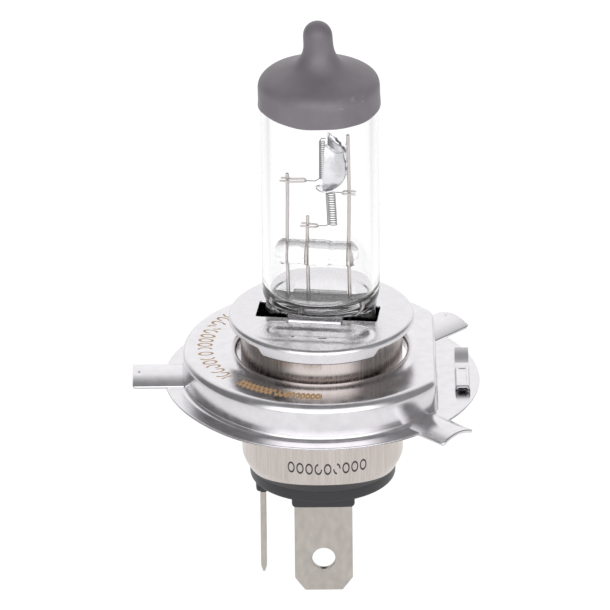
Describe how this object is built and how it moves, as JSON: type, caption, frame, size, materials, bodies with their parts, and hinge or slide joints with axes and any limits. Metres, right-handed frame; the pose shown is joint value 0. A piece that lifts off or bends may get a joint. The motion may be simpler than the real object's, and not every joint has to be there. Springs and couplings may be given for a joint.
{
  "type": "headlight bulb",
  "caption": "Two-filament halogen headlight bulb: clear quartz tube with grey-coated tip on a flanged metal base with locating lugs and flat blade terminals.",
  "frame": {"origin": "on the bulb's axis, in the plane of the flange's glass-side face, which seats in the reflector", "axes": "+Z along the axis towards the glass tip, -X towards the single lug and the low-beam blade, +X towards the ring's flat"},
  "size_m": [0.0473, 0.043, 0.0815],
  "materials": {
    "quartz_glass": "clear polished",
    "grey_coating": "satin opaque film on glass",
    "tungsten_wire": "drawn wire, dark",
    "molybdenum": "drawn wire and rolled sheet",
    "plated_steel": "bright plated pressing",
    "drawn_sleeve_steel": "drawn lengthwise",
    "black_insulator": "moulded",
    "tinned_blade": "satin tinned"
  },
  "bodies": {
    "root": {"glass_bulb": "quartz_glass", "bridge_bar": "quartz_glass", "top_coating": "grey_coating", "low_beam_filament": "tungsten_wire", "high_beam_filament": "tungsten_wire", "beam_shield": "molybdenum", "flange_ring": "plated_steel", "holder_disc": "plated_steel", "pinch_clamp_front": "plated_steel", "pinch_clamp_rear": "plated_steel", "base_shell": "drawn_sleeve_steel", "insulator": "black_insulator", "lead_low": "molybdenum", "arm_low": "molybdenum", "foil_low": "molybdenum", "outer_lead_low": "molybdenum", "terminal_low": "tinned_blade", "lead_high": "molybdenum", "arm_high": "molybdenum", "foil_high": "molybdenum", "outer_lead_high": "molybdenum", "terminal_high": "tinned_blade", "lead_common": "molybdenum", "arm_common": "molybdenum", "foil_common": "molybdenum", "outer_lead_common": "molybdenum", "terminal_common": "tinned_blade"}
  },
  "joints": []
}
